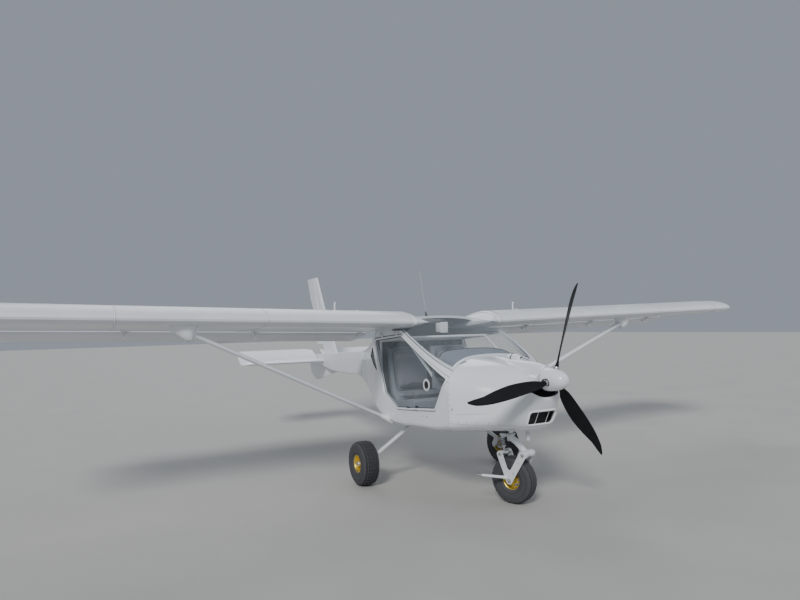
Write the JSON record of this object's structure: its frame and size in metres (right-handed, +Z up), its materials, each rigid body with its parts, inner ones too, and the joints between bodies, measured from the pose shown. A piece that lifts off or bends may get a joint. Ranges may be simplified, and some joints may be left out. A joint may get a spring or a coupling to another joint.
{
  "type": "light aircraft",
  "caption": "Two-seat high-wing light aircraft with a pod cabin, slim tail boom, wing struts, nose-wheel gear and a tractor propeller.",
  "frame": {"origin": "on the ground, at the centre of the aircraft's length and span", "axes": "+X to port, +Y aft along the body, +Z up"},
  "size_m": [9.55, 6.122, 2.43],
  "materials": {
    "white_paint": "gloss",
    "wing_skin": "satin",
    "body_skin": "satin",
    "alloy_sheet": "satin",
    "steel_parts": "satin",
    "engine_metal": "matte",
    "glazing": "gloss",
    "panel_grey": "matte",
    "black_grip": "matte",
    "seat_cloth": "matte",
    "tyre_rubber": "matte",
    "rim_gold": "satin",
    "blade_black": "satin"
  },
  "bodies": {
    "airframe": {"cowl_upper": "white_paint", "cowl_lower": "white_paint", "cowl_pod": "white_paint", "engine_block": "engine_metal", "exhaust_pipe": "steel_parts", "firewall": "alloy_sheet", "belly_shell": "white_paint", "cabin_frame": "white_paint", "windscreen": "glazing", "tail_boom": "body_skin", "fin": "body_skin", "ventral_fin": "body_skin", "stabilizer": "body_skin", "instrument_panel": "panel_grey", "control_stick": "black_grip", "cabin_tubes": "alloy_sheet", "antenna": "steel_parts", "wing_left": "wing_skin", "wing_right": "wing_skin", "strut_left": "alloy_sheet", "strut_right": "alloy_sheet", "quarter_window_left": "glazing", "quarter_window_right": "glazing", "seat_left": "seat_cloth", "seat_right": "seat_cloth", "main_leg_left": "alloy_sheet", "main_leg_right": "alloy_sheet", "nose_post": "alloy_sheet"},
    "propeller": {"propeller": "blade_black", "spinner": "white_paint"},
    "nose_gear": {"nose_arm": "alloy_sheet", "nose_fork": "alloy_sheet", "nose_shock": "steel_parts"},
    "nose_wheel": {"nose_tyre": "tyre_rubber", "nose_rim": "rim_gold"},
    "main_wheel_left": {"main_tyre_left": "tyre_rubber", "main_rim_left": "rim_gold"},
    "main_wheel_right": {"main_tyre_right": "tyre_rubber", "main_rim_right": "rim_gold"},
    "door_left": {"door_frame_left": "white_paint", "door_glass_left": "glazing"},
    "door_right": {"door_frame_right": "white_paint", "door_glass_right": "glazing"},
    "flaperon_left": {"flaperon_left": "wing_skin"},
    "flaperon_right": {"flaperon_right": "wing_skin"},
    "elevator": {"elevator": "body_skin"},
    "rudder": {"rudder": "body_skin"}
  },
  "joints": [
    {"name": "propeller_spin", "type": "hinge", "parent": "airframe", "child": "propeller", "pos_m": [0, -2.921, 1.136], "axis": [0, -1, 0], "continuous": true},
    {"name": "nose_steering", "type": "hinge", "parent": "airframe", "child": "nose_gear", "pos_m": [0, -2.345, 0.58], "axis": [0, 0, 1], "range_deg": [-43.5, 4.5]},
    {"name": "nose_wheel_spin", "type": "hinge", "parent": "nose_gear", "child": "nose_wheel", "pos_m": [0.00668, -2.36385, 0.208], "axis": [0.9426, 0.3338, 0], "continuous": true},
    {"name": "main_wheel_left_spin", "type": "hinge", "parent": "airframe", "child": "main_wheel_left", "pos_m": [0.888, -1.094, 0.219], "axis": [1, 0, 0], "continuous": true},
    {"name": "main_wheel_right_spin", "type": "hinge", "parent": "airframe", "child": "main_wheel_right", "pos_m": [-0.888, -1.094, 0.219], "axis": [1, 0, 0], "continuous": true},
    {"name": "door_left_hinge", "type": "hinge", "parent": "airframe", "child": "door_left", "pos_m": [0.608, -1.414, 1.536], "axis": [0, -0.9967, 0.0806], "range_deg": [0, 80]},
    {"name": "door_right_hinge", "type": "hinge", "parent": "airframe", "child": "door_right", "pos_m": [-0.608, -1.414, 1.536], "axis": [0, 0.9967, -0.0806], "range_deg": [0, 80]},
    {"name": "flaperon_left_hinge", "type": "hinge", "parent": "airframe", "child": "flaperon_left", "pos_m": [0.55, -0.43384, 1.52384], "axis": [0.9994, 0.0203, 0.0288], "range_deg": [-15, 35]},
    {"name": "flaperon_right_hinge", "type": "hinge", "parent": "airframe", "child": "flaperon_right", "pos_m": [-0.55, -0.43384, 1.52384], "axis": [0.9994, -0.0203, -0.0288], "range_deg": [-15, 35]},
    {"name": "elevator_hinge", "type": "hinge", "parent": "airframe", "child": "elevator", "pos_m": [0, 2.431, 1.075], "axis": [1, 0, 0], "range_deg": [-43, 0]},
    {"name": "rudder_hinge", "type": "hinge", "parent": "airframe", "child": "rudder", "pos_m": [0, 2.351, 1.328], "axis": [0, 0.2869, 0.958], "range_deg": [-25, 25]}
  ]
}
